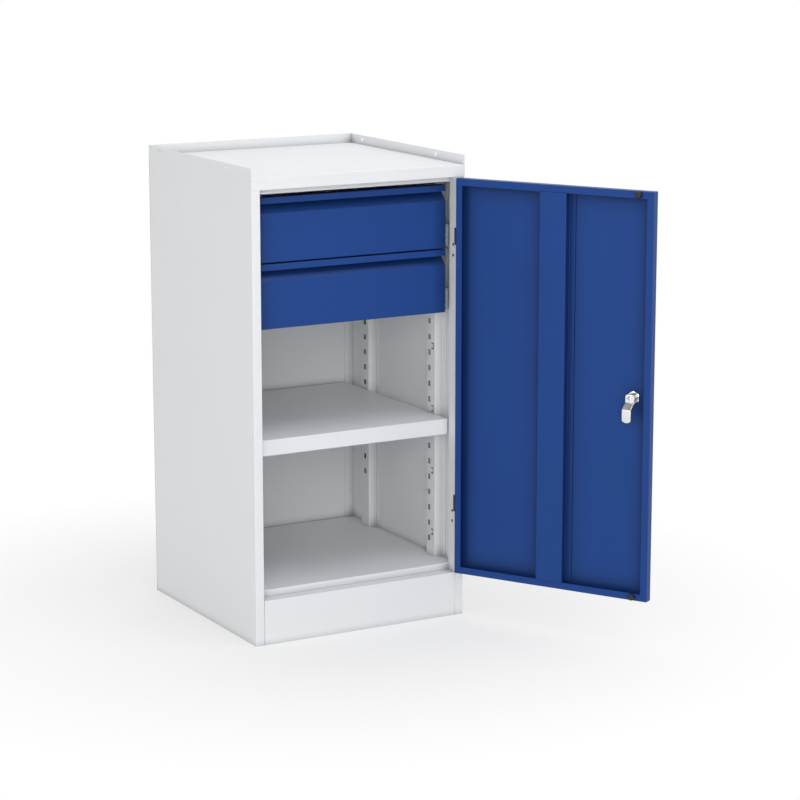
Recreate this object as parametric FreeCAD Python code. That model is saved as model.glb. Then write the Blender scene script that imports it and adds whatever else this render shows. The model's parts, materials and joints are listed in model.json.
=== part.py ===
"""A steel tool cabinet: a folded carcass on a plinth, two drawers, a lift-off shelf and one door.

Millimetres. X runs to the right, Y to the back and Z up. The origin is on the floor, under the middle of the
carcass. The door is modelled standing open, the drawers are shut and the shelf lies on its clips.
"""

import FreeCAD, Part
import math
import os

from FreeCAD import Vector

# Carcass
cabinet_width = 500.0
cabinet_depth = 500.0
cabinet_height = 1000.0
body_sheet = 1.0
back_sheet = 1.5
bend_radius = 1.0
assembly_gap = 0.2
stile_width = 20.0
rebate_depth = 27.5
rear_flange = 20.0
plinth_height = 96.0
plinth_foot = 20.0
floor_rise = 14.5

# Top tray
rim_height = 20.0
rim_thickness = 2.0
top_lip = 25.0
top_rear_flange = 15.0
stop_drop = 13.0
stop_return = 18.0
rim_hole_diameter = 9.0
rim_hole_below_top = 9.0
rim_hole_from_front = 118.0
rim_hole_from_rear = 52.5

# Posts that carry the slides and the shelf
post_sheet = 1.2
post_width = 37.0
post_flange = 15.0
post_below_stop = 8.0
front_post_from_front = 86.0
rear_post_from_rear = 77.5
slot_pitch = 34.5
slot_wide = 11.0
slot_tall = 12.0
slot_corner = 2.0
front_slot_start = 37.7
rear_slot_start = 128.5
front_slot_from_back_edge = 11.0
rear_slot_from_front_edge = 17.6
tab_rise = 15.6
tab_wide = 10.0
tab_tall = 14.0
tab_slit = 3.0
tab_from_front_edge = 12.0
slots_per_tab = 4

# Shelf and its clips
shelf_top = 430.0
shelf_sheet = 1.0
shelf_setback = 31.0
shelf_rear_gap = 4.0
shelf_side_gap = 2.0
shelf_flange = 34.0
shelf_return = 12.0
shelf_side_flange = 15.0
shelf_rib_width = 60.0
shelf_rib_depth = 20.0
clip_sheet = 1.2
clip_width = 20.0
clip_ledge = 12.0
clip_hook_width = 5.0
clip_hook_drop = 6.0

# Door
door_gap = 1.5
door_thickness = 19.0
door_sheet = 1.0
door_flange = 15.0
door_corner = 1.5
door_rib_width = 60.0
door_open_angle = 120.0
bumper_diameter = 13.0
bumper_from_latch_edge = 33.5
bumper_gap = 0.3
bumper_plug_diameter = 6.0
bumper_plug_length = 4.0

# Hinges
hinge_from_top = 125.0
hinge_from_bottom = 151.5
hinge_pin_diameter = 5.0
hinge_pin_play = 0.05
hinge_knuckle_diameter = 9.0
hinge_knuckle_tall = 11.5
hinge_knuckle_gap = 0.3
hinge_axis_into_stile = 4.0
hinge_axis_behind_front = 3.0
hinge_frame_leaf = 1.5
hinge_door_leaf = 1.1
hinge_door_leaf_tall = 28.0
hinge_leaf_reach = 18.0
hinge_notch_gap = 0.8
hinge_screw_diameter = 4.0
hinge_screw_head = 6.5
hinge_screw_head_tall = 0.7
hinge_screw_from_front = 12.3
hinge_screw_drop = 18.5
hinge_screw_pitch = 22.5
hinge_screw_length = 6.0

# Cam lock
lock_from_latch_edge = 44.5
lock_barrel_diameter = 19.0
lock_barrel_length = 20.0
lock_face_diameter = 25.0
lock_face_thick = 2.0
lock_nut_across_flats = 24.0
lock_nut_thick = 5.0
lock_nut_chamfer = 1.1
lock_plug_diameter = 12.5
lock_plug_end = 1.0
lock_play = 0.1
key_slot_long = 8.0
key_slot_wide = 1.6
key_slot_deep = 6.0
cam_sheet = 2.0
cam_width = 20.0
cam_top = 8.5
cam_crank_start = 9.0
cam_crank_end = 21.5
cam_reach = 48.0
cam_offset = 15.5
cam_corner = 3.5
cam_end_radius = 13.5
cam_screw_head = 10.0
cam_screw_head_tall = 3.0
cam_screw_diameter = 5.0

# Drawers
drawer_travel = 300.0
drawer_height = 135.0
drawer_spacing = 2.5
drawer_below_stop = 6.0
drawer_sheet = 1.0
drawer_setback = 26.5
drawer_front_side_gap = 11.0
grip_strip = 13.5
grip_mouth = 20.5
grip_depth = 18.0
drawer_foot_return = 15.0
drawer_box_rise = 4.0
drawer_box_height = 94.0
drawer_box_rear_gap = 41.0
drawer_box_hem = 8.0

# Ball slides
rail_tall = 45.0
rail_thick = 12.7
rail_sheet = 1.2
rail_edge_gap = 0.6
rail_door_gap = 0.4
rail_from_front = 30.0
rail_past_rear_post = 9.0
rail_above_drawer_foot = 5.0
rail_lip = 2.3
rail_stop_play = 0.6
ball_diameter = 4.8
ball_play = 0.25
balls_in_row = 6
cage_sheet = 0.6
cage_gap = 0.3
cage_hole_play = 0.15
cage_end = 10.0
cage_stop_room = 3.0

# Rivets
rivet_diameter = 4.0
rivet_play = 0.1
rivet_head = 7.0
rivet_head_tall = 1.0
rivet_head_sunk = 0.6
back_rivets_per_side = 6
back_rivet_margin = 60.0
drawer_rivet_margin = 40.0
rear_rail_rivet_from_edge = 7.5

# Planes and lines that several pieces share
side_x = cabinet_width / 2
wall_x = side_x - body_sheet
opening_x = side_x - stile_width
front_y = -cabinet_depth / 2
rear_y = cabinet_depth / 2
body_rear_y = rear_y - back_sheet
rebate_y = front_y + rebate_depth
tray_z = cabinet_height - rim_height
plate_under_z = tray_z - body_sheet
plate_notch_y = front_y + body_sheet + bend_radius
lip_z = tray_z - top_lip
stop_z = lip_z - stop_drop
floor_z = plinth_height + floor_rise
post_top_z = stop_z - post_below_stop
front_post_y = front_y + front_post_from_front
rear_post_y = body_rear_y - rear_post_from_rear - post_width
front_slot_y = front_post_y + post_width - front_slot_from_back_edge
rear_slot_y = rear_post_y + rear_slot_from_front_edge
front_slot_z = floor_z + front_slot_start
rear_slot_z = floor_z + rear_slot_start
rim_hole_z = cabinet_height - rim_hole_below_top
rim_hole_ys = (front_y + rim_hole_from_front, body_rear_y - rim_hole_from_rear)

door_x = opening_x - door_gap
door_bottom_z = plinth_height + door_gap
door_top_z = lip_z - door_gap
door_inside_y = front_y + door_thickness
hinge_x = opening_x + hinge_axis_into_stile
hinge_y = front_y + hinge_axis_behind_front
hinge_zs = {"upper": door_top_z - hinge_from_top, "lower": door_bottom_z + hinge_from_bottom}
hinge_half_tall = 1.5 * hinge_knuckle_tall + hinge_knuckle_gap
hinge_screw_y = front_y + hinge_screw_from_front
lock_x = -door_x + lock_from_latch_edge
lock_z = (door_bottom_z + door_top_z) / 2

drawer_y = front_y + drawer_setback
drawer_front_x = opening_x - drawer_front_side_gap
drawer_side_x = opening_x - rail_thick
drawer_box_y = drawer_y + drawer_sheet
drawer_box_end_y = body_rear_y - drawer_box_rear_gap
upper_foot_z = stop_z - drawer_below_stop - drawer_height
lower_foot_z = upper_foot_z - drawer_spacing - drawer_height
drawer_feet = {"upper": upper_foot_z, "lower": lower_foot_z}
rail_y = front_y + rail_from_front
rail_end_y = rear_post_y + post_width + rail_past_rear_post
rail_length = rail_end_y - rail_y
front_rail_rivet_y = (front_slot_y - slot_wide / 2 + front_post_y + tab_from_front_edge + tab_wide / 2) / 2
rear_rail_rivet_y = rear_post_y + post_width - rear_rail_rivet_from_edge


def box(x0, x1, y0, y1, z0, z1):
    """A block between two corners, given as pairs along X, Y and Z."""
    return Part.makeBox(x1 - x0, y1 - y0, z1 - z0, Vector(x0, y0, z0))


def rod(diameter, length, start, direction):
    """A round bar from a start point."""
    return Part.makeCylinder(diameter / 2, length, Vector(*start), Vector(*direction))


def mirrored(shape):
    """The same piece for the left side."""
    return shape.mirror(Vector(0, 0, 0), Vector(1, 0, 0))


def joined(*shapes):
    """Pieces of one sheet, made into one solid."""
    return shapes[0].fuse(list(shapes[1:])).removeSplitter()


def folded_face(points, sheet, radius):
    """The cut face of a folded sheet. The points follow its outside, with its thickness to their right."""
    ways = [(b - a).normalize() for a, b in zip(points, points[1:])]
    rights = [Vector(w.y, -w.x, 0) for w in ways]
    outside, inside = [], []
    here = [points[0], points[0] + rights[0] * sheet]
    for corner, way, right, next_way, next_right in zip(points[1:], ways, rights, ways[1:], rights[1:]):
        turn = way.x * next_way.y - way.y * next_way.x
        angle = math.atan2(abs(turn), way.dot(next_way))
        near, far = (radius + sheet, radius) if turn < 0 else (radius, radius + sheet)
        run_in = corner - way * near * math.tan(angle / 2)
        run_out = corner + next_way * near * math.tan(angle / 2)
        centre = run_in + right * near if turn < 0 else run_in - right * near
        to_corner = (corner - centre).normalize()
        for side, size, offset, edges in ((0, near, 0, outside), (1, far, sheet, inside)):
            start = run_in + right * offset
            end = run_out + next_right * offset
            edges.append(Part.makeLine(here[side], start))
            edges.append(Part.Arc(start, centre + to_corner * size, end).toShape())
            here[side] = end
    last = [points[-1], points[-1] + rights[-1] * sheet]
    outside.append(Part.makeLine(here[0], last[0]))
    inside.append(Part.makeLine(here[1], last[1]))
    ends = [Part.makeLine(points[0], points[0] + rights[0] * sheet), Part.makeLine(last[0], last[1])]
    return Part.Face(Part.Wire(Part.__sortEdges__(outside + inside + ends)))


def upright_fold(plan, sheet, z0, z1):
    """A sheet folded along upright lines: its plan is pairs of X and Y."""
    face = folded_face([Vector(x, y, 0) for x, y in plan], sheet, bend_radius)
    face.translate(Vector(0, 0, z0))
    return face.extrude(Vector(0, 0, z1 - z0))


def cross_fold(side_view, sheet, x0, x1):
    """A sheet folded along lines that run across the cabinet: its side view is pairs of Y and Z."""
    face = folded_face([Vector(y, z, 0) for y, z in side_view], sheet, bend_radius)
    face.rotate(Vector(0, 0, 0), Vector(1, 1, 1), 120)
    face.translate(Vector(x0, 0, 0))
    return face.extrude(Vector(x1 - x0, 0, 0))


def rim_holes(x0, x1):
    """Cutters for the two holes through a side rim."""
    return [rod(rim_hole_diameter, x1 - x0, (x0, y, rim_hole_z), (1, 0, 0)) for y in rim_hole_ys]


def back_rivet_places():
    """Where the back is riveted to a side's rear flange, as pairs of X and Z."""
    low = floor_z + back_rivet_margin
    step = (lip_z - back_rivet_margin - low) / (back_rivets_per_side - 1)
    x = side_x - rear_flange / 2
    return [(sign * x, low + step * i) for sign in (-1, 1) for i in range(back_rivets_per_side)]


def side_panel():
    """The right side: wall, front stile with its inward return, rear flange, and the folded rim on top."""
    rear = [(side_x - rear_flange, body_rear_y), (side_x, body_rear_y)]
    front = [(side_x, front_y), (opening_x, front_y), (opening_x, rebate_y)]
    stile_top = lip_z - assembly_gap
    flange_top = tray_z - top_rear_flange - assembly_gap
    lower = upright_fold(rear + front, body_sheet, 0, stile_top)
    middle = upright_fold(rear + front[:1], body_sheet, stile_top, flange_top)
    wall = box(wall_x, side_x, front_y, body_rear_y, flange_top, cabinet_height)
    inner_x = side_x - rim_thickness
    top = box(inner_x, side_x, front_y, body_rear_y, cabinet_height - body_sheet, cabinet_height)
    rim_foot = tray_z + assembly_gap
    fold_y = plate_notch_y + assembly_gap
    short_fold = box(inner_x, inner_x + body_sheet, front_y, fold_y, rim_foot, cabinet_height)
    long_fold = box(inner_x, inner_x + body_sheet, fold_y, body_rear_y, plate_under_z, cabinet_height)
    end = box(inner_x, side_x, front_y, front_y + body_sheet, rim_foot, cabinet_height)
    panel = joined(lower, middle, wall, top, short_fold, long_fold, end)
    panel = panel.cut(rim_holes(inner_x - 1, side_x + 1))
    hole = rivet_diameter + 2 * rivet_play
    rivets = [rod(hole, 2 * back_sheet, (x, body_rear_y - back_sheet, z), (0, 1, 0))
              for x, z in back_rivet_places() if x > 0]
    return panel.cut(rivets)


def hinge_notches():
    """Cutters that clear the hinge knuckles and take the hinge screws in the right stile."""
    half = hinge_half_tall + hinge_notch_gap
    knuckle = hinge_knuckle_diameter / 2
    cutters = []
    for z in hinge_zs.values():
        cutters.append(box(opening_x - 1, hinge_x + knuckle + hinge_notch_gap, front_y - 1,
                           hinge_y + knuckle + hinge_notch_gap, z - half, z + half))
        for screw_z in hinge_screw_zs(z):
            hole = hinge_screw_diameter + 2 * rivet_play
            start = (opening_x - body_sheet / 2, hinge_screw_y, screw_z)
            cutters.append(rod(hole, 2 * body_sheet, start, (1, 0, 0)))
    return cutters


def back_panel():
    """The plain back sheet, riveted on from behind."""
    edge = side_x - assembly_gap
    sheet = box(-edge, edge, body_rear_y, rear_y, assembly_gap, tray_z - assembly_gap)
    hole = rivet_diameter + 2 * rivet_play
    return sheet.cut([rod(hole, 3 * back_sheet, (x, body_rear_y - back_sheet, z), (0, 1, 0))
                      for x, z in back_rivet_places()])


def back_rivets():
    """Rivets through the back and the side flanges, with a head on both faces."""
    inside_y = body_rear_y - body_sheet
    grip = rear_y - inside_y
    rivets = []
    for x, z in back_rivet_places():
        shank = rod(rivet_diameter, grip, (x, inside_y, z), (0, 1, 0))
        outer = rod(rivet_head, rivet_head_tall, (x, rear_y, z), (0, 1, 0))
        inner = rod(rivet_head, rivet_head_tall, (x, inside_y, z), (0, -1, 0))
        rivets.append(joined(shank, outer, inner))
    return Part.makeCompound(rivets)


def top_panel():
    """The tray plate, notched behind its front lip for the side rims, with the folded rear rim."""
    rim_y = body_rear_y - rim_thickness
    plate_x = wall_x - assembly_gap
    rim_x = side_x - rim_thickness - assembly_gap
    plate = cross_fold([(front_y, lip_z), (front_y, tray_z), (rim_y, tray_z)], body_sheet, -plate_x, plate_x)
    notch = box(rim_x, side_x, plate_notch_y, rear_y, plate_under_z - 1, cabinet_height)
    plate = plate.cut([notch, mirrored(notch)])
    rear_fold = box(-rim_x, rim_x, rim_y, rim_y + body_sheet, plate_under_z, cabinet_height)
    rear_top = box(-rim_x, rim_x, rim_y, body_rear_y, cabinet_height - body_sheet, cabinet_height)
    flange_z = tray_z - top_rear_flange
    flange = box(-rim_x, rim_x, body_rear_y - body_sheet, body_rear_y, flange_z, cabinet_height)
    return joined(plate, rear_fold, rear_top, flange)


def door_stop_rail():
    """The channel behind the front lip that the door's upper bumper meets."""
    back = rebate_y + stop_return
    side_view = [(back, stop_z), (rebate_y, stop_z), (rebate_y, plate_under_z), (back, plate_under_z)]
    edge = wall_x - assembly_gap
    return cross_fold(side_view, body_sheet, -edge, edge)


def bottom_panel():
    """The cabinet floor, folded down at the front and the back on to the plinth."""
    foot = plinth_height + assembly_gap
    back = body_rear_y - body_sheet - bend_radius
    edge = wall_x - assembly_gap
    side_view = [(rebate_y, foot), (rebate_y, floor_z), (back, floor_z), (back, foot)]
    return cross_fold(side_view, body_sheet, -edge, edge)


def plinth_frame():
    """The welded base: front plate with a ledge on top, side and rear plates, and a foot flange."""
    front_x = opening_x
    outer_x = wall_x - assembly_gap
    behind = rebate_y + assembly_gap
    back = body_rear_y - body_sheet - bend_radius
    under = plinth_height - body_sheet
    plate = box(-front_x, front_x, front_y, front_y + body_sheet, 0, plinth_height)
    ledge = box(-front_x, front_x, front_y, rebate_y + plinth_foot / 2, under, plinth_height)
    foot_front = box(-front_x, front_x, front_y, behind + plinth_foot, 0, body_sheet)
    foot_around = box(-outer_x, outer_x, behind, back, 0, body_sheet)
    left = box(-outer_x, -outer_x + body_sheet, behind, back, 0, under)
    right = box(outer_x - body_sheet, outer_x, behind, back, 0, under)
    rear = box(-outer_x, outer_x, back - body_sheet, back, 0, plinth_height)
    inside = outer_x - plinth_foot
    mouth_x = front_x - plinth_foot
    inside_y = back - plinth_foot
    middle = box(-inside, inside, behind, inside_y, -1, 2 * body_sheet)
    mouth = box(-mouth_x, mouth_x, front_y + plinth_foot, inside_y, -1, 2 * body_sheet)
    return joined(plate, ledge, foot_front, foot_around, left, right, rear).cut([middle, mouth])


def rounded_slot(y, z):
    """One slot cutter through a post's face."""
    hole = box(opening_x - 1, opening_x + 2 * post_sheet, y - slot_wide / 2, y + slot_wide / 2,
               z - slot_tall / 2, z + slot_tall / 2)
    along_x = [e for e in hole.Edges if abs(e.tangentAt(e.FirstParameter).x) > 0.9]
    return hole.makeFillet(slot_corner, along_x)


def slot_zs(first_z):
    """The heights of the slots in a post, from its first slot up."""
    count = int((post_top_z - slot_pitch / 2 - first_z) // slot_pitch) + 1
    return [first_z + slot_pitch * i for i in range(count)]


def tab_slits(y, z):
    """A U of slits round one punched tab, open towards the back."""
    x0, x1 = opening_x - 1, opening_x + 2 * post_sheet
    front, back = y - tab_wide / 2, y + tab_wide / 2
    top, low = z + tab_tall / 2, z - tab_tall / 2
    upper = box(x0, x1, front, back, top - tab_slit, top)
    lower = box(x0, x1, front, back, low, low + tab_slit)
    return [joined(upper, lower, box(x0, x1, front, front + tab_slit, low, top))]


def rail_zs():
    """The middle height of each drawer's slides."""
    return [foot + rail_above_drawer_foot + rail_tall / 2 for foot in drawer_feet.values()]


def post(y, slot_y, first_slot_z, rivet_y, tab_y=None):
    """A hat-shaped post on the right wall, slotted in its inner face."""
    flange_x = wall_x - post_sheet
    far = y + post_width
    plan = [(flange_x, y - post_flange), (flange_x, y), (opening_x, y), (opening_x, far),
            (flange_x, far), (flange_x, far + post_flange)]
    sheet = upright_fold(plan, post_sheet, floor_z, post_top_z)
    cutters = [rounded_slot(slot_y, z) for z in slot_zs(first_slot_z)]
    if tab_y is not None:
        for z in slot_zs(first_slot_z)[::slots_per_tab]:
            if z + tab_rise + tab_tall < post_top_z:
                cutters += tab_slits(tab_y, z + tab_rise)
    hole = rivet_diameter + 2 * rivet_play
    cutters += [rod(hole, 4 * post_sheet, (opening_x - post_sheet, rivet_y, z), (1, 0, 0)) for z in rail_zs()]
    return sheet.cut(cutters)


def front_post():
    """The front right post, with its punched tabs."""
    tab_y = front_post_y + tab_from_front_edge
    return post(front_post_y, front_slot_y, front_slot_z, front_rail_rivet_y, tab_y)


def rear_post():
    """The rear right post."""
    return post(rear_post_y, rear_slot_y, rear_slot_z, rear_rail_rivet_y)


def shelf():
    """A pan with deep front and rear flanges and shallow side ones."""
    front = front_y + shelf_setback
    rear = body_rear_y - shelf_rear_gap
    foot = shelf_top - shelf_flange
    edge = opening_x - shelf_side_gap
    side_view = [(front + shelf_return, foot), (front, foot), (front, shelf_top), (rear, shelf_top),
                 (rear, foot), (rear - shelf_return, foot)]
    pan = cross_fold(side_view, shelf_sheet, -edge, edge)
    inset = bend_radius + shelf_sheet
    low = shelf_top - shelf_side_flange
    right = box(edge - shelf_sheet, edge, front + shelf_sheet, rear - shelf_sheet, low, shelf_top - inset / 2)
    return joined(pan, right, mirrored(right))


def shelf_rib():
    """The hat-shaped stiffener spot-welded under the shelf."""
    under = shelf_top - shelf_sheet
    half = shelf_rib_width / 2
    middle = (front_y + shelf_setback + body_rear_y - shelf_rear_gap) / 2
    foot = under - shelf_rib_depth
    edge = opening_x - shelf_side_gap - 2 * shelf_sheet - clip_ledge
    ear = shelf_rib_depth
    side_view = [(middle + half + ear, under - shelf_sheet), (middle + half, under - shelf_sheet),
                 (middle + half, foot), (middle - half, foot), (middle - half, under - shelf_sheet),
                 (middle - half - ear, under - shelf_sheet)]
    return cross_fold(side_view, shelf_sheet, -edge, edge)


def shelf_clip(slot_y, first_slot_z):
    """A bent clip: a hook through a post's slot, a plate on the post and a ledge under the shelf's edge."""
    ledge_top = shelf_top - shelf_side_flange
    slot_z = min(slot_zs(first_slot_z), key=lambda z: abs(z - ledge_top))
    half = clip_width / 2
    hook = clip_hook_width / 2
    plate_x = opening_x - clip_sheet
    low = min(ledge_top - clip_sheet, slot_z - hook)
    high = max(ledge_top - clip_sheet / 2, slot_z + hook)
    y0, y1 = slot_y - half, slot_y + half
    plate = box(plate_x, opening_x, y0, y1, low, high)
    ledge = box(plate_x - clip_ledge, opening_x, y0, y1, ledge_top - clip_sheet, ledge_top)
    through = opening_x + post_sheet + assembly_gap
    far = through + clip_sheet
    y0, y1 = slot_y - hook, slot_y + hook
    tongue = box(plate_x, far, y0, y1, slot_z - hook, slot_z)
    drop = box(through, far, y0, y1, slot_z - hook - clip_hook_drop, slot_z)
    return joined(plate, ledge, tongue, drop)


def clip_pair(slot_y, first_slot_z):
    """The same clip on the right post and on the left one."""
    clip = shelf_clip(slot_y, first_slot_z)
    return Part.makeCompound([clip, mirrored(clip)])


def opened(shape):
    """Swings a piece of the closed door about the hinge pins to the angle that the door stands at."""
    turned = shape.copy()
    turned.rotate(Vector(hinge_x, hinge_y, 0), Vector(0, 0, 1), door_open_angle)
    return turned


def door_panel():
    """The door pan: skin, four edges and four inward flanges, with the lock hole and the bumper holes."""
    t = door_sheet
    outer = box(-door_x, door_x, front_y, door_inside_y, door_bottom_z, door_top_z)
    outer = outer.makeFillet(door_corner, outer.Edges)
    x, low, high = door_x - t, door_bottom_z + t, door_top_z - t
    hollow = box(-x, x, front_y + t, door_inside_y - t, low, high)
    w = door_flange
    x, low, high = door_x - w, door_bottom_z + w, door_top_z - w
    window = box(-x, x, door_inside_y - 2 * t, door_inside_y + 1, low, high)
    hole = lock_barrel_diameter + 2 * lock_play
    lock_hole = rod(hole, 4 * t, (lock_x, front_y - t, lock_z), (0, 1, 0))
    hole = bumper_plug_diameter + 2 * lock_play
    bumper_holes = [rod(hole, 3 * t, (x, door_inside_y - 2 * t, z), (0, 1, 0)) for x, z in bumper_places()]
    return outer.cut([hollow, window, lock_hole] + bumper_holes)


def door_rib():
    """The hat-shaped stiffener down the middle of the door, flush with the flanges."""
    half = door_rib_width / 2
    foot = front_y + door_sheet
    face = door_inside_y
    ear = door_flange
    plan = [(half + ear, foot + door_sheet), (half, foot + door_sheet), (half, face), (-half, face),
            (-half, foot + door_sheet), (-half - ear, foot + door_sheet)]
    low = door_bottom_z + door_flange + assembly_gap
    high = door_top_z - door_flange - assembly_gap
    return upright_fold(plan, door_sheet, low, high)


def bumper_places():
    """Where the rubber bumpers sit in the door's top and bottom flanges, as pairs of X and Z."""
    x = -door_x + bumper_from_latch_edge
    return [(x, door_top_z - door_flange / 2), (x, door_bottom_z + door_flange / 2)]


def door_bumper(x, z):
    """A rubber dome with a plug that snaps into the flange."""
    tall = rebate_y - door_inside_y - bumper_gap
    dome = rod(bumper_diameter, tall, (x, door_inside_y, z), (0, 1, 0))
    rim = [e for e in dome.Edges if e.CenterOfMass.y > door_inside_y + tall / 2 and len(e.Vertexes) == 1]
    dome = dome.makeFillet(min(tall, bumper_diameter / 2) / 2, rim)
    plug = rod(bumper_plug_diameter, bumper_plug_length, (x, door_inside_y, z), (0, -1, 0))
    return joined(dome, plug)


def hinge_screw_zs(z):
    """The heights of the two screws of the hinge whose middle is at z."""
    return [z - hinge_screw_drop, z - hinge_screw_drop - hinge_screw_pitch]


def knuckle(z0, z1):
    """One rolled knuckle round the hinge axis, without its bore."""
    return rod(hinge_knuckle_diameter, z1 - z0, (hinge_x, hinge_y, z0), (0, 0, 1))


def pin_bore(z0, z1):
    """The cutter for a knuckle's bore."""
    return rod(hinge_pin_diameter + 2 * hinge_pin_play, z1 - z0, (hinge_x, hinge_y, z0), (0, 0, 1))


def hinge_frame_plate(z):
    """The leaf behind the stile's return, with the lower and the upper knuckle."""
    half = hinge_half_tall
    inner = hinge_knuckle_tall / 2 + hinge_knuckle_gap
    x0 = opening_x + body_sheet
    x1 = x0 + hinge_frame_leaf
    y1 = hinge_screw_y + hinge_leaf_reach / 2
    low = hinge_screw_zs(z)[1] - hinge_screw_head
    strip = box(x0, x1, hinge_y + hinge_knuckle_diameter / 2, y1, low, z + half)
    arms = [box(x0, x1, hinge_y, y1, a, b) for a, b in ((z - half, z - inner), (z + inner, z + half))]
    knuckles = [knuckle(z - half, z - inner), knuckle(z + inner, z + half)]
    plate = joined(strip, *arms, *knuckles)
    hole = hinge_screw_diameter + 2 * rivet_play
    holes = [rod(hole, 3 * hinge_frame_leaf, (x0 - 1, hinge_screw_y, screw_z), (1, 0, 0))
             for screw_z in hinge_screw_zs(z)]
    return plate.cut([pin_bore(z - half - 1, z + half + 1)] + holes)


def hinge_door_plate(z):
    """The leaf on the door's edge, with the middle knuckle."""
    x0 = door_x + assembly_gap / 2
    x1 = x0 + hinge_door_leaf
    half = hinge_door_leaf_tall / 2
    reach = hinge_leaf_reach
    leaf_y = hinge_y + hinge_knuckle_diameter / 2 - hinge_axis_behind_front
    strip = box(x0, x1, leaf_y, front_y + reach, z - half, z + half)
    part_tall = hinge_knuckle_tall / 2
    arm = box(x0, hinge_x, hinge_y - hinge_door_leaf, hinge_y + hinge_door_leaf, z - part_tall, z + part_tall)
    root = box(x0, x1, hinge_y - hinge_door_leaf, front_y + reach, z - part_tall, z + part_tall)
    plate = joined(strip, root, arm, knuckle(z - part_tall, z + part_tall))
    return plate.cut(pin_bore(z - half, z + half))


def hinge_pin(z):
    """The hinge pin with a small flat head on top."""
    half = hinge_half_tall
    pin = rod(hinge_pin_diameter, 2 * half, (hinge_x, hinge_y, z - half), (0, 0, 1))
    head = rod(hinge_pin_diameter + 2, hinge_notch_gap / 2, (hinge_x, hinge_y, z + half), (0, 0, 1))
    return joined(pin, head)


def hinge_screws():
    """Two low-headed screws for each hinge, put in from the door opening."""
    screws = []
    for z in hinge_zs.values():
        for screw_z in hinge_screw_zs(z):
            start = (opening_x, hinge_screw_y, screw_z)
            shank = rod(hinge_screw_diameter, hinge_screw_length, start, (1, 0, 0))
            head = rod(hinge_screw_head, hinge_screw_head_tall, start, (-1, 0, 0))
            screws.append(joined(shank, head))
    return Part.makeCompound(screws)


def on_lock_axis(diameter, y0, y1):
    """A round bar on the lock's axis between two depths."""
    return rod(diameter, y1 - y0, (lock_x, y0, lock_z), (0, 1, 0))


def lock_body():
    """The lock's threaded barrel with its round face plate on the outside of the door."""
    end = front_y + lock_barrel_length
    barrel = on_lock_axis(lock_barrel_diameter, front_y, end)
    face = on_lock_axis(lock_face_diameter, front_y - lock_face_thick, front_y)
    rim = [e for e in face.Edges if e.CenterOfMass.y < front_y - lock_face_thick / 2 and len(e.Vertexes) == 1]
    face = face.makeFillet(lock_face_thick / 2, rim)
    bore = on_lock_axis(lock_plug_diameter + 2 * lock_play, front_y - 2 * lock_face_thick, end + 1)
    return joined(barrel, face).cut(bore)


def lock_nut():
    """The hex nut that clamps the lock to the door's skin, with its corners turned off."""
    radius = lock_nut_across_flats / 2 / math.cos(math.pi / 6)
    y0 = front_y + door_sheet
    corners = [Vector(lock_x + radius * math.sin(math.radians(60 * i)), y0,
                      lock_z + radius * math.cos(math.radians(60 * i))) for i in range(7)]
    hexagon = Part.Face(Part.makePolygon(corners)).extrude(Vector(0, lock_nut_thick, 0))
    turned = lock_nut_across_flats / 2
    spread = turned + (radius - turned) / lock_nut_chamfer * lock_nut_thick
    start = Vector(lock_x, y0, lock_z)
    chamfer = Part.makeCone(spread, turned, lock_nut_thick, start, Vector(0, 1, 0))
    bore = on_lock_axis(lock_barrel_diameter + 2 * lock_play, y0 - 1, y0 + lock_nut_thick + 1)
    return hexagon.common(chamfer).cut(bore)


def lock_plug():
    """The turning core, with the key slot in front and the seat of the cam behind."""
    front = front_y - lock_face_thick
    seat = front_y + lock_barrel_length + lock_play
    core = on_lock_axis(lock_plug_diameter, front, seat)
    tail = on_lock_axis(lock_plug_diameter - 2 * lock_plug_end, seat, seat + lock_plug_end)
    slot = box(lock_x - key_slot_wide / 2, lock_x + key_slot_wide / 2, front - 1, front + key_slot_deep,
               lock_z - key_slot_long / 2, lock_z + key_slot_long / 2)
    hole = cam_screw_diameter + 2 * lock_play
    thread = on_lock_axis(hole, seat - 2 * cam_screw_diameter, seat + 2 * lock_plug_end)
    return joined(core, tail).cut([slot, thread])


def cam_y():
    """How deep the cam's upper flat starts."""
    return front_y + lock_barrel_length + lock_play + lock_plug_end


def lock_cam():
    """The cranked cam, hanging down: an upper flat with cut corners, a slant and a bow-ended lower flat."""
    near = cam_y()
    far = near + cam_offset
    side_view = [(far, lock_z - cam_reach), (far, lock_z - cam_crank_end),
                 (near, lock_z - cam_crank_start), (near, lock_z + cam_top)]
    half = cam_width / 2
    strip = cross_fold(side_view, cam_sheet, lock_x - half, lock_x + half)
    straight = box(lock_x - half, lock_x + half, near - 1, far + cam_sheet + 1,
                   lock_z - cam_reach, lock_z + cam_top)
    top_corners = [e for e in straight.Edges if abs(e.tangentAt(e.FirstParameter).y) > 0.9
                   and e.CenterOfMass.z > lock_z]
    straight = straight.makeChamfer(cam_corner, top_corners)
    bow_z = lock_z - cam_reach + cam_end_radius
    bow = rod(2 * cam_end_radius, cam_offset + cam_sheet + 2, (lock_x, near - 1, bow_z), (0, 1, 0))
    above = box(lock_x - half, lock_x + half, near - 1, far + cam_sheet + 1, bow_z, lock_z + cam_top)
    hole = on_lock_axis(cam_screw_diameter + 2 * lock_play, near - 1, near + cam_sheet + 1)
    return strip.common(straight).common(joined(bow, above)).cut(hole)


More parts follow.
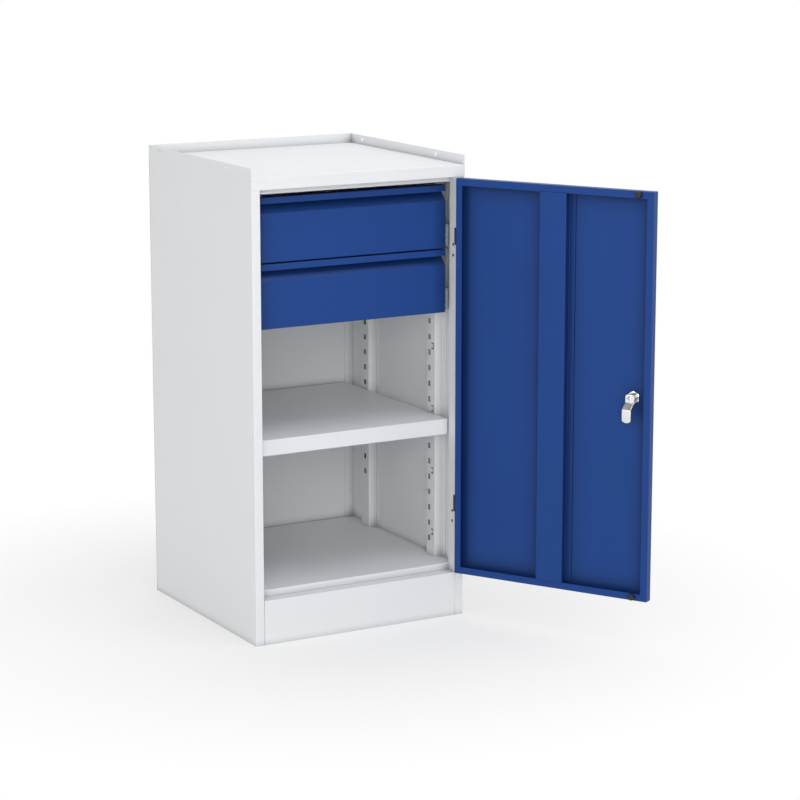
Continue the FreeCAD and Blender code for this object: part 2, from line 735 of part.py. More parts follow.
def cam_screw():
    """The pan-head screw that holds the cam on the plug."""
    seat = cam_y() + cam_sheet
    tall = cam_screw_head_tall
    head = on_lock_axis(cam_screw_head, seat, seat + tall)
    rim = [e for e in head.Edges if e.CenterOfMass.y > seat + tall / 2 and len(e.Vertexes) == 1]
    head = head.makeFillet(tall / 2, rim)
    shank = on_lock_axis(cam_screw_diameter, seat - cam_sheet - lock_plug_end - cam_screw_diameter, seat)
    cross = cam_screw_head / 2
    half = key_slot_wide / 2
    slot = box(lock_x - cross, lock_x + cross, seat + tall / 2, seat + 2 * tall, lock_z - half, lock_z + half)
    return joined(head, shank).cut(slot)


def drawer_front(foot):
    """The folded front: foot return, face, slanted grip, pocket back, top and the turned-down strip."""
    t = drawer_sheet
    face = drawer_y
    pocket = face + grip_depth
    top = foot + drawer_height
    mouth_top = top - grip_strip
    face_top = mouth_top - grip_mouth
    side_view = [(face + drawer_foot_return, foot), (face, foot), (face, face_top), (pocket, mouth_top),
                 (pocket, top - t), (face + t, top - t), (face + t, mouth_top)]
    return cross_fold(side_view, t, -drawer_front_x, drawer_front_x)


def drawer_floor(foot):
    """The flat bottom of a drawer's box, welded in between its walls."""
    t = drawer_sheet
    edge = drawer_side_x - t
    low = foot + drawer_box_rise
    return box(-edge, edge, drawer_box_y + t, drawer_box_end_y - t, low, low + t)


def drawer_ends(foot):
    """The front and the rear wall of a drawer's box."""
    t = drawer_sheet
    edge = drawer_side_x - t
    low = foot + drawer_box_rise
    high = low + drawer_box_height
    starts = (drawer_box_y, drawer_box_end_y - t)
    return Part.makeCompound([box(-edge, edge, y, y + t, low, high) for y in starts])


def drawer_side(foot):
    """The right wall of a drawer's box, folded flat on itself along its top."""
    t = drawer_sheet
    x, y0, y1 = drawer_side_x, drawer_box_y, drawer_box_end_y
    low = foot + drawer_box_rise
    high = low + drawer_box_height
    wall = box(x - t, x, y0, y1, low, high)
    end = t + assembly_gap
    hem = box(x - 2 * t, x, y0 + end, y1 - end, high - drawer_box_hem, high)
    z = foot + rail_above_drawer_foot + rail_tall / 2
    hole = rivet_diameter + 2 * rivet_play
    holes = [rod(hole, 3 * t, (x - 2 * t, y, z), (1, 0, 0)) for y in drawer_rivet_ys()]
    return joined(wall, hem).cut(holes)


def drawer_rivet_ys():
    """Where the slides are riveted to the drawer."""
    return [rail_y + drawer_rivet_margin, rail_end_y - drawer_rivet_margin]


# Across a slide, u is the distance from the post's face and w the distance above or below the slide's middle.
# The drawer's member stays clear of the inner corner of the open door's hinged edge.
door_angle = math.radians(door_open_angle)
open_corner_x = (hinge_x + (door_x - hinge_x) * math.cos(door_angle)
                 - (door_inside_y - hinge_y) * math.sin(door_angle))
outer_web_w = rail_tall / 2
outer_flange_w = outer_web_w - rail_sheet
outer_u = rail_thick - rail_edge_gap
inner_u = rail_thick - rail_sheet
inner_flange_u = opening_x - open_corner_x + rail_door_gap
ball_room = ball_diameter + 2 * ball_play
inner_w = outer_flange_w - ball_room
ball_w = outer_flange_w - ball_room / 2
ball_u = outer_u - rail_sheet - ball_play - ball_diameter / 2
cage_u = rail_sheet + cage_gap
cage_tip_u = outer_u - rail_sheet - cage_gap
cage_length = rail_length - drawer_travel - cage_stop_room
cage_y = rail_y + drawer_travel / 2 + cage_stop_room


def rail_block(z, u0, u1, w0, w1, y0, y1):
    """A block of a right-hand slide, given across the slide by u and w."""
    return box(opening_x - u1, opening_x - u0, y0, y1, z + w0, z + w1)


def channel(z, web, flange, w_out, w_in, y0=rail_y, y1=rail_end_y):
    """A web with a flange along its top and its bottom, both given as pairs of u."""
    parts = [rail_block(z, *web, -w_out, w_out, y0, y1)]
    for w0, w1 in ((w_in, w_out), (-w_out, -w_in)):
        parts.append(rail_block(z, *flange, w0, w1, y0, y1))
    return joined(*parts)


def across(z, diameter, u0, u1, y):
    """A round bar across a right-hand slide."""
    return rod(diameter, u1 - u0, (opening_x - u0, y, z), (-1, 0, 0))


def cabinet_rail(z):
    """The outer slide member, riveted to both posts, with lips for its balls and a stop across its front."""
    rail = channel(z, (0, rail_sheet), (0, outer_u), outer_web_w, outer_flange_w)
    lip_w = outer_flange_w - rail_lip
    lips = [rail_block(z, outer_u - rail_sheet, outer_u, w0, w1, rail_y, rail_end_y)
            for w0, w1 in ((lip_w, outer_web_w), (-outer_web_w, -lip_w))]
    stop_u = inner_flange_u - rail_stop_play
    stop = rail_block(z, 0, stop_u, -outer_web_w, outer_web_w, rail_y, rail_y + rail_sheet)
    cutters = []
    for y in (front_rail_rivet_y, rear_rail_rivet_y):
        sunk = rail_sheet - rivet_head_sunk
        cutters.append(across(z, rivet_diameter + 2 * rivet_play, -1, 2 * rail_sheet, y))
        cutters.append(across(z, rivet_head + 2 * rivet_play, sunk, 2 * rail_sheet, y))
    return joined(rail, *lips, stop).cut(cutters)


def drawer_rail(z):
    """The inner slide member, riveted to the drawer's side."""
    rail = channel(z, (inner_u, rail_thick), (inner_flange_u, rail_thick), inner_w, inner_w - rail_sheet)
    hole = rivet_diameter + 2 * rivet_play
    return rail.cut([across(z, hole, inner_u - 1, rail_thick + 1, y) for y in drawer_rivet_ys()])


def ball_ys():
    """The balls' places along a cage."""
    step = (cage_length - 2 * cage_end) / (balls_in_row - 1)
    return [cage_y + cage_end + step * i for i in range(balls_in_row)]


def ball_cage(z):
    """A thin folded strip between the members, which spaces an upper and a lower row of balls."""
    half = cage_sheet / 2
    web = (cage_u, cage_u + cage_sheet)
    cage = channel(z, web, (cage_u, cage_tip_u), ball_w + half, ball_w - half, cage_y, cage_y + cage_length)
    hole = ball_diameter + 2 * cage_hole_play
    holes = [rod(hole, 2 * cage_sheet, (opening_x - ball_u, y, z + sign * ball_w - cage_sheet), (0, 0, 1))
             for y in ball_ys() for sign in (-1, 1)]
    return cage.cut(holes)


def balls(z):
    """The balls of one cage."""
    return [Part.makeSphere(ball_diameter / 2, Vector(opening_x - ball_u, y, z + sign * ball_w))
            for y in ball_ys() for sign in (-1, 1)]


def both_sides(shapes):
    """The right-hand pieces and their left-hand copies, as one group."""
    return Part.makeCompound(shapes + [mirrored(s) for s in shapes])


def rail_rivets():
    """Rivets that hold the cabinet's rails to the posts, with heads sunk into the rails."""
    rivets = []
    for z in rail_zs():
        for y in (front_rail_rivet_y, rear_rail_rivet_y):
            shank = across(z, rivet_diameter, -post_sheet, rail_sheet - rivet_head_sunk, y)
            sunk = across(z, rivet_head, rail_sheet - rivet_head_sunk, rail_sheet, y)
            head = across(z, rivet_head, -post_sheet - rivet_head_tall, -post_sheet, y)
            rivets.append(joined(shank, sunk, head))
    return both_sides(rivets)


def drawer_rail_rivets(z):
    """Rivets that hold one drawer's rails to its sides."""
    rivets = []
    for y in drawer_rivet_ys():
        shank = across(z, rivet_diameter, inner_u, rail_thick + drawer_sheet, y)
        near = across(z, rivet_head, inner_u - rivet_head_tall, inner_u, y)
        far = across(z, rivet_head, rail_thick + drawer_sheet, rail_thick + drawer_sheet + rivet_head_tall, y)
        rivets.append(joined(shank, near, far))
    return both_sides(rivets)


def carcass_nodes():
    """The fixed sheet pieces and their rivets."""
    right = side_panel()
    left = mirrored(right)
    nodes = {
        "left_side_panel": left,
        "right_side_panel": right.cut(hinge_notches()),
        "back_panel": back_panel(),
        "back_rivets": back_rivets(),
        "top_panel": top_panel(),
        "door_stop_rail": door_stop_rail(),
        "bottom_panel": bottom_panel(),
        "plinth_frame": plinth_frame(),
    }
    for place, piece in (("front", front_post()), ("rear", rear_post())):
        nodes[f"{place}_right_post"] = piece
        nodes[f"{place}_left_post"] = mirrored(piece)
    return nodes


def shelf_nodes():
    """The shelf, its stiffener and the clips that it lies on."""
    return {
        "shelf": shelf(),
        "shelf_rib": shelf_rib(),
        "front_shelf_clips": clip_pair(front_slot_y, front_slot_z),
        "rear_shelf_clips": clip_pair(rear_slot_y, rear_slot_z),
    }


def door_nodes():
    """The door and all that swings with it, standing open, and the hinge pieces that stay on the carcass."""
    upper, lower = bumper_places()
    swinging = {
        "door_panel": door_panel(),
        "door_rib": door_rib(),
        "upper_door_bumper": door_bumper(*upper),
        "lower_door_bumper": door_bumper(*lower),
        "lock_body": lock_body(),
        "lock_nut": lock_nut(),
        "lock_plug": lock_plug(),
        "lock_cam": lock_cam(),
        "cam_screw": cam_screw(),
    }
    fixed = {"hinge_screws": hinge_screws()}
    for place, z in hinge_zs.items():
        swinging[f"{place}_hinge_door_leaf"] = hinge_door_plate(z)
        fixed[f"{place}_hinge_frame_leaf"] = hinge_frame_plate(z)
        fixed[f"{place}_hinge_pin"] = hinge_pin(z)
    return {**{name: opened(shape) for name, shape in swinging.items()}, **fixed}


def drawer_nodes(place, foot):
    """One drawer with its two ball slides."""
    z = foot + rail_above_drawer_foot + rail_tall / 2
    nodes = {
        f"{place}_drawer_front": drawer_front(foot),
        f"{place}_drawer_floor": drawer_floor(foot),
        f"{place}_drawer_sides": both_sides([drawer_side(foot)]),
        f"{place}_drawer_ends": drawer_ends(foot),
        f"{place}_drawer_rail_rivets": drawer_rail_rivets(z),
        f"{place}_ball_cages": both_sides([ball_cage(z)]),
        f"{place}_slide_balls": both_sides(balls(z)),
    }
    for kind, piece in (("cabinet", cabinet_rail(z)), ("drawer", drawer_rail(z))):
        nodes[f"{place}_right_{kind}_rail"] = piece
        nodes[f"{place}_left_{kind}_rail"] = mirrored(piece)
    return nodes


nodes = {**carcass_nodes(), **shelf_nodes(), **door_nodes(), "rail_rivets": rail_rivets()}
for drawer_place, drawer_foot in drawer_feet.items():
    nodes.update(drawer_nodes(drawer_place, drawer_foot))

os.makedirs("parts", exist_ok=True)
for name, shape in nodes.items():
    if not shape.isValid():
        raise ValueError(f"{name} isn't a valid shape")
    shape.exportStep(f"parts/{name}.step")
print(len(nodes), "nodes,", sum(len(s.Solids) for s in nodes.values()), "solids")
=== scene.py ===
"""The looks of a steel tool cabinet: grey carcass, blue door and drawer fronts, zinc slides, cam lock."""

import json
import math

import bpy
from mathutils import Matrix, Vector


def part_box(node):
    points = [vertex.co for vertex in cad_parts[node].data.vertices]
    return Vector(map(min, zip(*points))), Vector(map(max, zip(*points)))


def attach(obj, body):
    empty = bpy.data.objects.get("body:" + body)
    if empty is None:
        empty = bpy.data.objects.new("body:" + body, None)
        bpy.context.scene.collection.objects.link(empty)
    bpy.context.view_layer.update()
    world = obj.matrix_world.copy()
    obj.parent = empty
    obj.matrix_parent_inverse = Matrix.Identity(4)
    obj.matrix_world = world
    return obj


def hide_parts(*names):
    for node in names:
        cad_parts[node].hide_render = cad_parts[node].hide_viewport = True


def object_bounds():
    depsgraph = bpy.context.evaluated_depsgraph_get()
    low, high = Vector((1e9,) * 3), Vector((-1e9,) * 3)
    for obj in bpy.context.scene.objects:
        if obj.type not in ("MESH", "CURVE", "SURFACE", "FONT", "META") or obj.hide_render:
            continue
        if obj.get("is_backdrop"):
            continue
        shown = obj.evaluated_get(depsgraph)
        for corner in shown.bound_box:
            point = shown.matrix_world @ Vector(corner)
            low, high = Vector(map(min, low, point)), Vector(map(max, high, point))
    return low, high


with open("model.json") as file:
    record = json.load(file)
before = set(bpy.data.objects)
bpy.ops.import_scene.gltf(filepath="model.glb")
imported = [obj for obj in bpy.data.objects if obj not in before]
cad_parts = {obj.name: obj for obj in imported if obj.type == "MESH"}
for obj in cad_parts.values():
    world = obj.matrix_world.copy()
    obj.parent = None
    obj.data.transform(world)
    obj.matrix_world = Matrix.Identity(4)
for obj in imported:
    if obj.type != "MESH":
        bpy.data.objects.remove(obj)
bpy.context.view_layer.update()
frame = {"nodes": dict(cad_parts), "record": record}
nodes = frame["nodes"]
bpy.ops.object.select_all(action="DESELECT")


# The carcass: folded sheet steel panels, welded and riveted, on a welded plinth.
# Everything is powder coated light grey after welding, in one coat that leaves a faint orange peel.

def new_finish(name):
    """A new material: itself, its node tree, its shader, and the place of a point on the piece."""
    finish = bpy.data.materials.new(name)
    finish.use_nodes = True
    tree = finish.node_tree
    place = tree.nodes.new("ShaderNodeTexCoord").outputs["Object"]
    return finish, tree, tree.nodes["Principled BSDF"], place


def mapped(tree, value, from_low, from_high, to_low, to_high):
    """A value carried from one range over to another, and held inside it."""
    carrier = tree.nodes.new("ShaderNodeMapRange")
    carrier.inputs["From Min"].default_value = from_low
    carrier.inputs["From Max"].default_value = from_high
    carrier.inputs["To Min"].default_value = to_low
    carrier.inputs["To Max"].default_value = to_high
    tree.links.new(value, carrier.inputs["Value"])
    return carrier.outputs["Result"]


def soft_noise(tree, place, scale, detail):
    """Soft random patches. The scale says how many there are to a metre, roughly."""
    noise = tree.nodes.new("ShaderNodeTexNoise")
    noise.inputs["Scale"].default_value = scale
    noise.inputs["Detail"].default_value = detail
    tree.links.new(place, noise.inputs["Vector"])
    return noise.outputs["Fac"]


def two_tone(tree, pattern, dark, light, start=0, end=1):
    """A colour that goes from a dark tone to a light one between two values of a pattern."""
    tint = tree.nodes.new("ShaderNodeValToRGB")
    first, last = tint.color_ramp.elements
    first.position = start
    first.color = (*dark, 1)
    last.position = end
    last.color = (*light, 1)
    tree.links.new(pattern, tint.inputs["Fac"])
    return tint.outputs["Color"]


def painted_corner_shade(tree, colour, reach, closed, clear, kept):
    """A finish's colour with painted shade: darker in grooves, corners and narrow gaps, where shade falls.

    Within reach, a spot open to less than the clear share gets painted shade.
    Where it is open to the closed share or less, only the kept share of its colour is left.
    """
    room = tree.nodes.new("ShaderNodeAmbientOcclusion")
    room.samples = 8
    room.inputs["Distance"].default_value = reach
    shaded = tree.nodes.new("ShaderNodeVectorMath")
    shaded.operation = "SCALE"
    tree.links.new(colour, shaded.inputs[0])
    tree.links.new(mapped(tree, room.outputs["AO"], closed, clear, kept, 1), shaded.inputs["Scale"])
    return shaded.outputs["Vector"]


def uneven_gloss(tree, shader, pattern, roughness, spread):
    """A roughness that strays to both sides of its mean, by a pattern."""
    sheen = mapped(tree, pattern, 0, 1, roughness - spread, roughness + spread)
    tree.links.new(sheen, shader.inputs["Roughness"])


def raised_skin(tree, shader, pattern, strength):
    """A skin raised by a pattern, a fifth of a millimetre high at full strength."""
    bump = tree.nodes.new("ShaderNodeBump")
    bump.inputs["Strength"].default_value = strength
    bump.inputs["Distance"].default_value = 0.0002
    tree.links.new(pattern, bump.inputs["Height"])
    tree.links.new(bump.outputs["Normal"], shader.inputs["Normal"])


def powder_coat(name, colour, shade, gloss, roughness, corners):
    """Baked powder paint: nearly even, cloudy in large soft patches, fine orange peel, painted shade in
    corners.
    """
    paint, tree, shader, place = new_finish(name)
    shader.inputs["Specular IOR Level"].default_value = gloss
    clouds = soft_noise(tree, place, scale=5, detail=3)
    tint = two_tone(tree, clouds, [c * shade for c in colour], colour, start=0.3, end=0.7)
    tree.links.new(painted_corner_shade(tree, tint, **corners), shader.inputs["Base Color"])
    uneven_gloss(tree, shader, soft_noise(tree, place, scale=23, detail=5), roughness, spread=0.05)
    raised_skin(tree, shader, soft_noise(tree, place, scale=520, detail=2), strength=0.10)
    return paint


def finish_with(material, *names):
    """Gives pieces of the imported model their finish."""
    for name in names:
        for slot in nodes[name].material_slots:
            slot.material = material


# Painted shade for the grey paint: darker inside slots, grooves, seams and corners, where shade falls.
grey_corner_shade = {"reach": 0.03, "closed": 0, "clear": 0.7, "kept": 0.06}
grey_paint = powder_coat("light grey powder coat", (0.80, 0.815, 0.83), shade=0.985, gloss=0.4,
                         roughness=0.42, corners=grey_corner_shade)
finish_with(grey_paint, "left_side_panel", "right_side_panel", "back_panel", "top_panel",
            "door_stop_rail", "bottom_panel", "plinth_frame")
finish_with(grey_paint, "front_left_post", "front_right_post", "rear_left_post", "rear_right_post")


# The rivets of the back: two rows of domed blind rivets through the back sheet and the side flanges.
# They were set before painting, so they carry the carcass's paint on both heads.

smooth_up_to = math.radians(35)


def take_up(*pieces):
    """Selects these pieces and no other, and makes the first one active."""
    bpy.ops.object.select_all(action="DESELECT")
    for piece in pieces:
        piece.select_set(True)
    bpy.context.view_layer.objects.active = pieces[0]


def drawn_line(name, points):
    """A new object with a line through points, left selected in edit mode."""
    bpy.ops.object.select_all(action="DESELECT")
    bpy.ops.mesh.primitive_plane_add(size=0.001)
    line = bpy.context.object
    line.name = name
    bpy.ops.object.mode_set(mode="EDIT")
    bpy.ops.mesh.merge(type="CENTER")
    bpy.ops.transform.translate(value=points[0])
    for point, next_point in zip(points, points[1:]):
        step = [after - before for before, after in zip(point, next_point)]
        bpy.ops.mesh.extrude_region_move(TRANSFORM_OT_translate={"value": step})
    bpy.ops.mesh.select_all(action="SELECT")
    return line


def turn_faces_out():
    """Turns the faces of the mesh in edit mode outwards, and leaves edit mode."""
    bpy.ops.mesh.select_all(action="SELECT")
    bpy.ops.mesh.normals_make_consistent(inside=False)
    bpy.ops.object.mode_set(mode="OBJECT")


def turned_piece(name, profile, steps):
    """A piece turned on a lathe: pairs of radius and height, spun round the Z axis."""
    piece = drawn_line(name, [(radius, 0, height) for radius, height in profile])
    bpy.ops.mesh.spin(steps=steps, angle=math.tau, center=(0, 0, 0), axis=(0, 0, 1))
    bpy.ops.mesh.select_all(action="SELECT")
    bpy.ops.mesh.remove_doubles(threshold=0.000001)
    turn_faces_out()
    bpy.ops.object.shade_smooth_by_angle(angle=smooth_up_to)
    return piece


def put_in_place(piece, foot, direction):
    """Moves a piece from the origin to its foot, and turns it from the Z axis to a direction."""
    take_up(piece)
    piece.rotation_euler = Vector(direction).to_track_quat("Z", "Y").to_euler()
    piece.location = foot
    bpy.ops.object.transform_apply(location=True, rotation=True, scale=True)
    return piece


def copies_in_place(pattern, places):
    """Copies of a piece at pairs of foot and direction, each with its own mesh. The pattern is removed."""
    copies = []
    for foot, direction in places:
        piece = pattern.copy()
        piece.data = pattern.data.copy()
        bpy.context.scene.collection.objects.link(piece)
        copies.append(put_in_place(piece, foot, direction))
    bpy.data.objects.remove(pattern, do_unlink=True)
    return copies


def joined_pieces(name, pieces):
    """Several pieces as one object."""
    take_up(*pieces)
    bpy.ops.object.join()
    pieces[0].name = name
    return pieces[0]


def dome(radius, tall):
    """The profile of a low rivet head, from its rim to its crown."""
    ball = (radius * radius + tall * tall) / (2 * tall)
    reach = math.asin(radius / ball)
    steps = 6
    turns = [reach * (1 - i / steps) for i in range(steps + 1)]
    return [(ball * math.sin(turn), ball * math.cos(turn) - ball + tall) for turn in turns]


def fitted(piece, material, slot, body, *replaced):
    """Gives a new piece its finish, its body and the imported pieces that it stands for."""
    piece.data.materials.clear()
    piece.data.materials.append(material)
    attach(piece, body)
    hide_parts(*replaced)


rivet_low, rivet_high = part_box("back_rivets")
rivet_head_radius = 0.0035
rivet_head_tall = 0.001
rivets_per_side = 6
rivet_x = rivet_high[0] - rivet_head_radius
rivet_foot_z = rivet_low[2] + rivet_head_radius
rivet_step = (rivet_high[2] - rivet_low[2] - 2 * rivet_head_radius) / (rivets_per_side - 1)
back_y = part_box("back_panel")[1][1]
flange_y = rivet_low[1] + rivet_head_tall
rivet_places = []
for x in (-rivet_x, rivet_x):
    for i in range(rivets_per_side):
        for y, way in ((back_y, 1), (flange_y, -1)):
            rivet_places.append(((x, y, rivet_foot_z + rivet_step * i), (0, way, 0)))
rivet = turned_piece("rivet", dome(rivet_head_radius, rivet_head_tall), steps=20)
back_rivet_heads = joined_pieces("back_rivet_heads", copies_in_place(rivet, rivet_places))
fitted(back_rivet_heads, grey_paint, "light_grey_paint", "carcass", "back_rivets")


# The shelf: a folded pan with a stiffener spot-welded under it, in the carcass's paint.
# It lies loose on four bent clips of zinc-plated steel, hooked into the posts' slots.

def plated_metal(name, colour, roughness):
    """Plated or polished metal: faint crystal patches in its colour, painted shade in its tight corners,
    and rolling lines in its gloss.
    """
    metal, tree, shader, place = new_finish(name)
    shader.inputs["Metallic"].default_value = 1
    crystals = tree.nodes.new("ShaderNodeTexVoronoi")
    crystals.inputs["Scale"].default_value = 260
    tree.links.new(place, crystals.inputs["Vector"])
    tint = two_tone(tree, crystals.outputs["Distance"], [c * 0.86 for c in colour], colour)
    # Painted shade: the metal's colour is darker in its tight corners and gaps.
    shaded = painted_corner_shade(tree, tint, reach=0.003, closed=0, clear=0.7, kept=0.2)
    tree.links.new(shaded, shader.inputs["Base Color"])

    along_the_strip = tree.nodes.new("ShaderNodeMapping")
    along_the_strip.inputs["Scale"].default_value = (900, 40, 900)
    tree.links.new(place, along_the_strip.inputs["Vector"])
    lines = soft_noise(tree, along_the_strip.outputs["Vector"], scale=1, detail=3)
    uneven_gloss(tree, shader, lines, roughness, spread=0.08)
    return metal


zinc = plated_metal("bright zinc plating", (0.82, 0.82, 0.83), roughness=0.38)
finish_with(grey_paint, "shelf", "shelf_rib")
finish_with(zinc, "front_shelf_clips", "rear_shelf_clips")


# The door: a folded pan with a hat-shaped stiffener, powder coated gentian blue on both faces.
# Two black rubber bumpers are pressed into its flanges on the lock's side.

# Painted shade for the blue paint: darker in the drawers' finger grips, beside the door's flanges and
# stiffener, and at the drawers' ends by the stile.
blue_corner_shade = {"reach": 0.05, "closed": 0.6, "clear": 1, "kept": 0.55}
blue_paint = powder_coat("gentian blue powder coat", (0.011, 0.055, 0.243), shade=0.94, gloss=0.2,
                         roughness=0.40, corners=blue_corner_shade)
finish_with(blue_paint, "door_panel", "door_rib")


def moulded_rubber(name, dark, light):
    """Moulded rubber: matt, with a fine grain and dusty patches."""
    rubber, tree, shader, place = new_finish(name)
    shader.inputs["Roughness"].default_value = 0.62
    dust = soft_noise(tree, place, scale=300, detail=2)
    tree.links.new(two_tone(tree, dust, dark, light), shader.inputs["Base Color"])
    raised_skin(tree, shader, dust, strength=0.2)
    return rubber


black_rubber = moulded_rubber("black rubber", (0.008, 0.008, 0.009), (0.022, 0.022, 0.023))
finish_with(black_rubber, "upper_door_bumper", "lower_door_bumper")


# The hinges: blackened steel leaves with rolled knuckles on a steel pin, behind the stile's return.
# Each is held by two low cross-head screws, whose heads show in the door opening.

blackened = plated_metal("black oxide steel", (0.075, 0.075, 0.08), roughness=0.42)
finish_with(blackened, "upper_hinge_frame_leaf", "lower_hinge_frame_leaf", "upper_hinge_door_leaf",
            "lower_hinge_door_leaf", "upper_hinge_pin", "lower_hinge_pin")


def cross_head_screw(name, head_radius, head_tall, shank_radius, shank_long):
    """A screw with a low domed head and a cross recess. Its foot is the face that the head lies on."""
    shank = [(0, -shank_long), (shank_radius, -shank_long), (shank_radius, 0)]
    screw = turned_piece(name, [*shank, *dome(head_radius, head_tall)], steps=32)
    for turn in (math.radians(45), math.radians(135)):
        bpy.ops.object.select_all(action="DESELECT")
        bpy.ops.mesh.primitive_cube_add(size=1, location=(0, 0, head_tall), rotation=(0, 0, turn))
        bit = bpy.context.object
        bit.scale = (head_radius * 1.1, head_radius * 0.3, head_tall * 1.1)
        bpy.ops.object.transform_apply(location=True, rotation=True, scale=True)
        recess = screw.modifiers.new("cross recess", "BOOLEAN")
        recess.operation = "DIFFERENCE"
        recess.object = bit
        take_up(screw)
        bpy.ops.object.modifier_apply(modifier=recess.name)
        bpy.data.objects.remove(bit, do_unlink=True)
    return screw


screws_low, screws_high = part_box("hinge_screws")
hinge_screw_radius = 0.00325
hinge_screw_tall = 0.0007
hinge_screw_pitch = 0.0225
screw_face = (screws_low[0] + hinge_screw_tall, (screws_low[1] + screws_high[1]) / 2)
screw_places = []
for place in ("upper", "lower"):
    leaf_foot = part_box(f"{place}_hinge_frame_leaf")[0][2]
    for rise in (2 * hinge_screw_radius, 2 * hinge_screw_radius + hinge_screw_pitch):
        screw_places.append(((*screw_face, leaf_foot + rise), (-1, 0, 0)))
hinge_screw = cross_head_screw("hinge screw", hinge_screw_radius, hinge_screw_tall,
                               shank_radius=0.002, shank_long=0.006)
hinge_cross_screws = joined_pieces("hinge_cross_screws", copies_in_place(hinge_screw, screw_places))
fitted(hinge_cross_screws, blackened, "blackened_steel", "carcass", "hinge_screws")


# The cam lock: a chromed, threaded barrel through the door's skin, with a round face plate outside.
# A hex nut clamps it inside the door; behind the nut the thread is cut by three turned grooves.
# A plug with the key slot turns in the barrel.

steel = plated_metal("polished steel", (0.86, 0.86, 0.87), roughness=0.20)
chrome = plated_metal("chrome plating", (0.80, 0.80, 0.81), roughness=0.14)
finish_with(chrome, "lock_plug")
joints = frame["record"]["behaviour"]["joints"]
lock_joint = [joint for joint in joints if joint["name"] == "lock_cam_turn"][0]
lock_way = Vector(lock_joint["axis"])
cam_seat = 0.021


def lock_point(depth):
    """A point on the lock's axis, by its depth from the door's outer face."""
    return Vector(lock_joint["pos_m"]) + lock_way * (depth - cam_seat)


face_radius = 0.0125
face_thick = 0.002
face_rounding = 0.001
barrel_radius = 0.0095
barrel_long = 0.020
bore_radius = 0.00635
chamfer_wide = 0.0006
chamfer_deep = 0.0005
thread_start = 0.0012
thread_pitch = 0.0013
thread_deep = 0.0007
thread_turns = 14
turned_grooves = (5, 8, 11)
groove_radius = 0.0076
groove_long = 1.7 * thread_pitch
groove_slope = 0.0001
barrel = [(bore_radius, -face_thick), (face_radius - 1.2 * face_rounding, -face_thick),
          (face_radius - 0.4 * face_rounding, 0.3 * face_rounding - face_thick),
          (face_radius, face_rounding - face_thick), (face_radius, 0),
          (barrel_radius, 0), (barrel_radius, thread_start)]
for turn in range(thread_turns):
    turn_foot = thread_start + thread_pitch * turn
    if turn in turned_grooves:
        barrel += [(groove_radius, turn_foot + groove_slope), (groove_radius, turn_foot + groove_long),
                   (barrel_radius, turn_foot + groove_long + groove_slope)]
        continue
    if turn - 1 not in turned_grooves:
        barrel += [(barrel_radius - thread_deep, turn_foot + 0.35 * thread_pitch),
                   (barrel_radius, turn_foot + 0.7 * thread_pitch)]
    barrel.append((barrel_radius, turn_foot + thread_pitch))
barrel += [(barrel_radius - chamfer_wide, barrel_long), (bore_radius + chamfer_wide, barrel_long),
           (bore_radius, barrel_long - chamfer_deep), (bore_radius, -face_thick)]
threaded_barrel = turned_piece("threaded_lock_barrel", barrel, steps=64)
put_in_place(threaded_barrel, lock_point(0), lock_way)
fitted(threaded_barrel, chrome, "chromed_metal", "door", "lock_body")


def rounded_copy(name, node, width):
    """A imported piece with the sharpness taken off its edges, as tumbling before plating leaves it."""
    piece = bpy.data.objects.new(name, nodes[node].data.copy())
    bpy.context.scene.collection.objects.link(piece)
    take_up(piece)
    bpy.ops.object.mode_set(mode="EDIT")
    bpy.ops.mesh.select_all(action="SELECT")
    bpy.ops.mesh.remove_doubles(threshold=0.00001)
    bpy.ops.mesh.dissolve_limited(angle_limit=math.radians(4))
    bpy.ops.object.mode_set(mode="OBJECT")
    bevel = piece.modifiers.new("rounded edges", "BEVEL")
    bevel.width = width
    bevel.segments = 2
    bevel.limit_method = "ANGLE"
    bevel.angle_limit = math.radians(40)
    bpy.ops.object.modifier_apply(modifier=bevel.name)
    bpy.ops.object.shade_smooth_by_angle(angle=smooth_up_to)
    return piece


lock_nut = rounded_copy("chamfered_lock_nut", "lock_nut", width=0.00025)
fitted(lock_nut, steel, "chromed_metal", "door", "lock_nut")


# The cam: a cranked steel strip on the plug's squared end, zinc plated, under a cross-head screw.
# It turns with the key and catches behind the stile.

cam_thick = 0.002
cam_play = 0.0001
cranked_cam = rounded_copy("cranked_cam", "lock_cam", width=0.0003)
fitted(cranked_cam, steel, "zinc_plated_steel", "lock_core", "lock_cam")
cam_screw = cross_head_screw("cam_cross_screw", head_radius=0.005, head_tall=0.0028,
                             shank_radius=0.0024, shank_long=0.006)
put_in_place(cam_screw, lock_point(cam_seat + cam_play + cam_thick), lock_way)
fitted(cam_screw, steel, "zinc_plated_steel", "lock_core", "cam_screw")


# The drawers: folded fronts in the door's blue, and boxes in the carcass's grey.
# The sides are folded flat on themselves along the top, and all is welded before painting.

for place in ("upper", "lower"):
    finish_with(blue_paint, f"{place}_drawer_front")
    finish_with(grey_paint, f"{place}_drawer_floor", f"{place}_drawer_sides", f"{place}_drawer_ends")


# The ball slides: rolled steel strip with raceways along both edges, zinc plated.
# The outer member is riveted to the posts and the inner one to the drawer, with caged balls between.
# The outer one ends in a folded stop tab in front, and the inner one in a notched nose.

def rolled_strip(name, section, y0, y1, sheet):
    """Steel strip rolled to a section, given as pairs of X and Z along the middle of its sheet."""
    strip = drawn_line(name, [(x, y0, z) for x, z in section])
    bpy.ops.mesh.extrude_region_move(TRANSFORM_OT_translate={"value": (0, y1 - y0, 0)})
    bpy.ops.object.mode_set(mode="OBJECT")
    thicken = strip.modifiers.new("sheet", "SOLIDIFY")
    thicken.thickness = sheet
    thicken.offset = 0
    bpy.ops.object.modifier_apply(modifier=thicken.name)
    bpy.ops.object.mode_set(mode="EDIT")
    turn_faces_out()
    bpy.ops.object.shade_smooth_by_angle(angle=smooth_up_to)
    return strip


